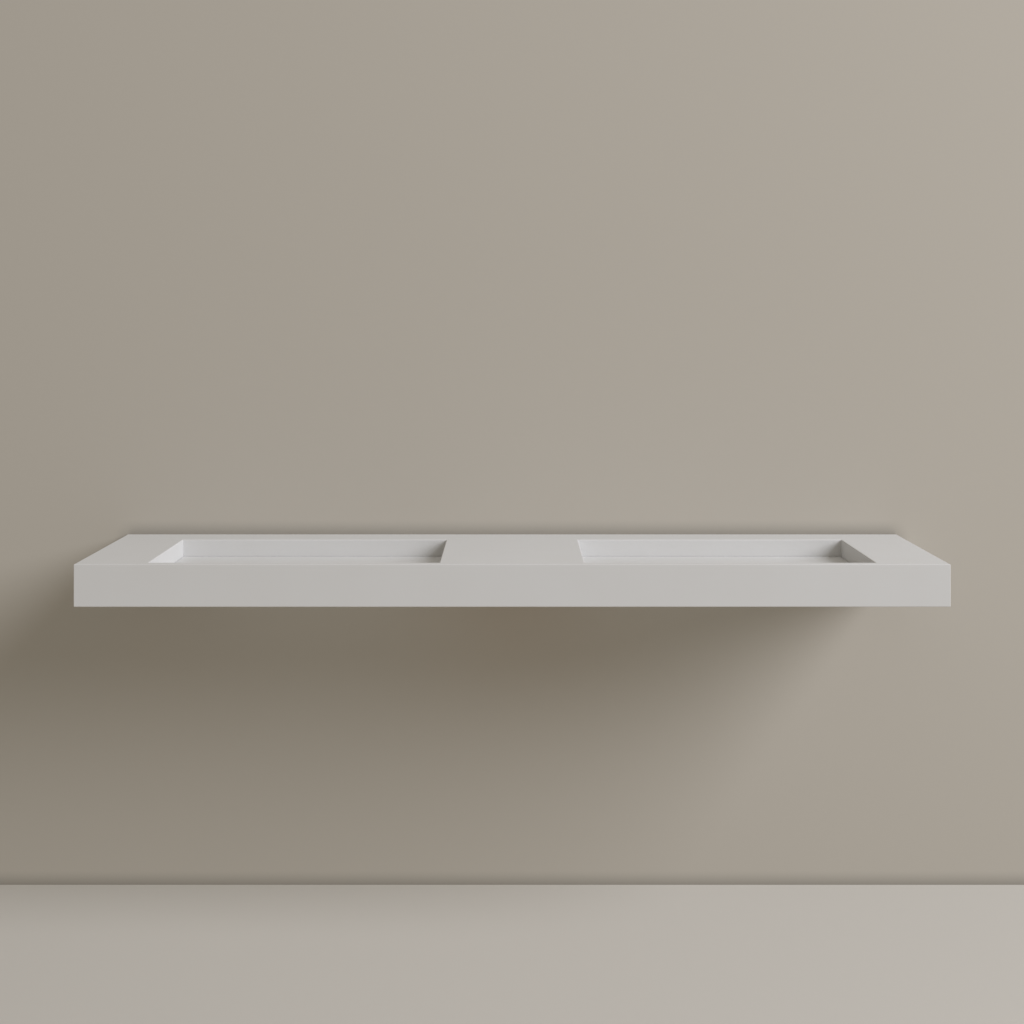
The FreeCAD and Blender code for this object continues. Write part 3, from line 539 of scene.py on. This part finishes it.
def stage_material(name, colour, contact):
    """Pale matt sheet, seen from its front only, that lets light pass to the object.

    Ambient occlusion paints a shade into its colour where it meets the object, and far away it fades into
    the background.
    """
    material = bpy.data.materials.new(name)
    material.use_nodes = True
    tree = material.node_tree
    tree.nodes.clear()
    tone = (*colour, 1.0)
    spot = add_node(tree, "ShaderNodeNewGeometry", {})
    # Painted shade: ambient occlusion darkens the sheet's colour close to the object.
    painted_shade = add_node(tree, "ShaderNodeAmbientOcclusion", {"Color": tone, "Distance": CONTACT_REACH})
    shaded = add_node(tree, "ShaderNodeMix",
                      {MIX_FACTOR: contact, MIX_FIRST: tone, MIX_SECOND: painted_shade.outputs["Color"]},
                      data_type="RGBA")
    matt = add_node(tree, "ShaderNodeBsdfDiffuse", {"Color": shaded.outputs[MIX_RESULT]})
    clear = add_node(tree, "ShaderNodeBsdfTransparent", {})
    away = add_node(tree, "ShaderNodeVectorMath", {0: spot.outputs["Position"]}, operation="LENGTH")
    near = add_node(tree, "ShaderNodeMapRange",
                    {"Value": away.outputs["Value"], "From Min": FADE_END, "From Max": FADE_START},
                    interpolation_type="SMOOTHSTEP")
    front = add_node(tree, "ShaderNodeMath", {0: seen_rays(tree), 1: spot.outputs["Backfacing"]},
                     operation="SUBTRACT", use_clamp=True)
    shown = add_node(tree, "ShaderNodeMath", {0: front.outputs[0], 1: near.outputs[0]},
                     operation="MULTIPLY")
    choose = add_node(tree, "ShaderNodeMixShader",
                      {0: shown.outputs[0], 1: clear.outputs[0], 2: matt.outputs[0]})
    add_node(tree, "ShaderNodeOutputMaterial", {"Surface": choose.outputs[0]})
    return material


def stage_sheet(name, corners, material):
    mesh = bpy.data.meshes.new(name)
    mesh.from_pydata(corners, [], [(0, 1, 2, 3)])
    mesh.materials.append(material)
    sheet = bpy.data.objects.new(name, mesh)
    bpy.context.scene.collection.objects.link(sheet)


stage_sheet("floor",
            [(-FAR, -FAR, FLOOR_Z), (FAR, -FAR, FLOOR_Z), (FAR, FAR, FLOOR_Z), (-FAR, FAR, FLOOR_Z)],
            stage_material("pale_floor", FLOOR_COLOUR, 0.0))
stage_sheet("backdrop",
            [(-FAR, BACKDROP_Y, FLOOR_Z), (FAR, BACKDROP_Y, FLOOR_Z),
             (FAR, BACKDROP_Y, FAR), (-FAR, BACKDROP_Y, FAR)],
            stage_material("pale_backdrop", BACKDROP_COLOUR, CONTACT_SHADE))


def area_light(name, place, target, size, power, colour):
    lamp = bpy.data.lights.new(name, "AREA")
    lamp.shape = "DISK"
    lamp.size = size
    lamp.energy = power
    lamp.color = colour
    light = bpy.data.objects.new(name, lamp)
    light.location = place
    light.rotation_euler = (Vector(target) - Vector(place)).to_track_quat("-Z", "Y").to_euler()
    bpy.context.scene.collection.objects.link(light)
    return light


LIT = (0.0, -0.24, 0.0)
key = area_light("key", (8.9, -5.2, 5.6), LIT, size=7.4, power=1410.0, colour=(0.915, 0.937, 1.0))
# The key isn't mirrored, so the matt deck keeps its colour at low angles.
key.visible_glossy = False
area_light("fill_below", (-1.0, 4.5, -4.5), LIT, size=5.0, power=300.0, colour=(1.0, 0.97, 0.93))


def studio_world():
    """Warm even light on the object, and a pale background for the eye and for reflections."""
    world = bpy.data.worlds.new("studio")
    world.use_nodes = True
    tree = world.node_tree
    tree.nodes.clear()
    ambient = add_node(tree, "ShaderNodeBackground",
                       {"Color": AMBIENT_COLOUR, "Strength": AMBIENT_STRENGTH})
    pale = add_node(tree, "ShaderNodeBackground", {"Color": BACKGROUND_COLOUR})
    choose = add_node(tree, "ShaderNodeMixShader",
                      {0: seen_rays(tree), 1: ambient.outputs[0], 2: pale.outputs[0]})
    add_node(tree, "ShaderNodeOutputWorld", {"Surface": choose.outputs[0]})
    bpy.context.scene.world = world


studio_world()

# A level camera, shifted so that upright edges stay parallel.
camera = bpy.data.cameras.new("camera")
camera.sensor_width = 36.0
camera.lens = 58.13
camera.shift_x = -0.0001
camera.shift_y = -0.1863
viewer = bpy.data.objects.new("camera", camera)
viewer.location = (0.0, -3.873, 0.5442)
viewer.rotation_euler = (QUARTER, 0.0, 0.0)
bpy.context.scene.collection.objects.link(viewer)
bpy.context.scene.camera = viewer
bpy.context.scene.view_settings.view_transform = "Standard"
